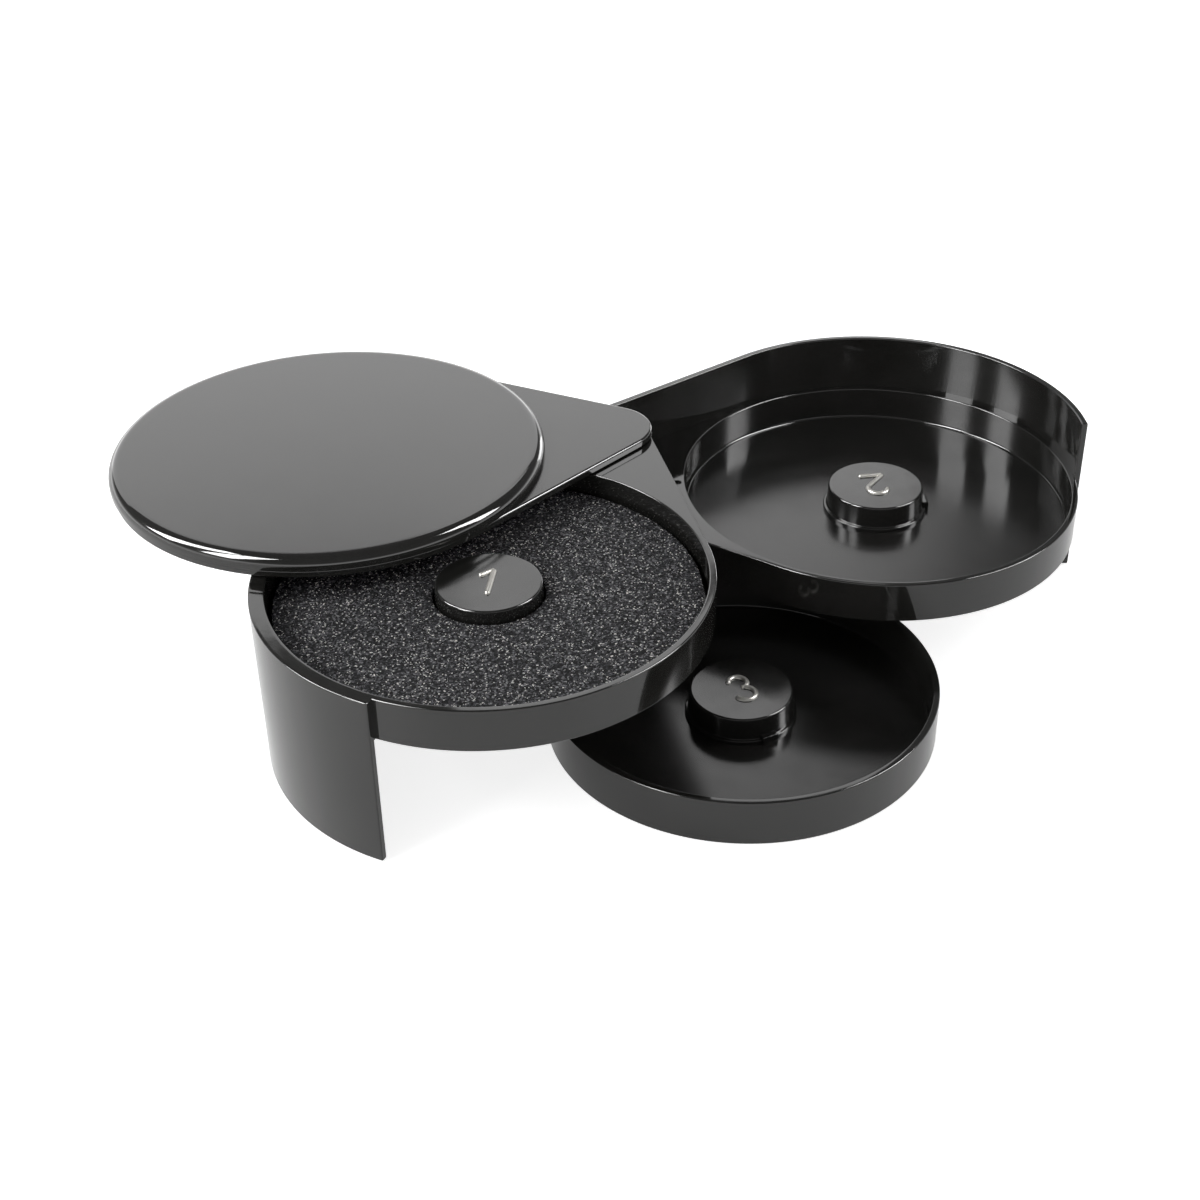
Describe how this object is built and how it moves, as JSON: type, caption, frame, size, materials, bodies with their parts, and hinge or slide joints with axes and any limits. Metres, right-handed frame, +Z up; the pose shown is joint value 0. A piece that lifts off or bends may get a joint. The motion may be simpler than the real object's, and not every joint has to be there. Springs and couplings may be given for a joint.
{
  "type": "cocktail glass rimmer",
  "caption": "Swing-out glass rimmer for bars: a sponge tray and dry trays fan out about one upright pivot under a round lid, and close into a drum.",
  "frame": {"origin": "on the pivot axis, at the plane the bottom tray stands on", "axes": "+Z up along the pivot axis; -Y from the pivot to the nose of the bottom tray"},
  "size_m": [0.3449, 0.2731, 0.0701],
  "materials": {
    "black_gloss": "glossy",
    "lid_black": "satin",
    "button_black": "glossy",
    "sponge": "open-cell foam",
    "brass": "machined",
    "steel": "zinc plated",
    "spring_steel": "plain",
    "nylon": "matte"
  },
  "bodies": {
    "sugar": {"sugar_tray": "black_gloss", "sugar_button": "button_black", "head_washer": "steel", "spring_washer": "spring_steel", "lower_washer": "nylon"},
    "salt": {"salt_tray": "black_gloss", "salt_button": "button_black", "middle_washer": "nylon"},
    "lime": {"lime_tray": "black_gloss", "lime_button": "button_black", "lime_sponge": "sponge", "upper_washer": "nylon"},
    "lid": {"lid": "lid_black", "lid_insert": "brass", "pivot_bolt": "steel"}
  },
  "joints": [
    {"name": "salt_swing", "type": "hinge", "parent": "sugar", "child": "salt", "pos_m": [0, 0, 0.0332], "axis": [0, 0, 1], "range_deg": [-65.3, 1.5]},
    {"name": "lime_swing", "type": "hinge", "parent": "sugar", "child": "lime", "pos_m": [0, 0, 0.0545], "axis": [0, 0, 1], "range_deg": [-1.5, 49.2]},
    {"name": "lid_swing", "type": "hinge", "parent": "sugar", "child": "lid", "pos_m": [0, 0, 0.0653], "axis": [0, 0, 1], "continuous": true}
  ]
}
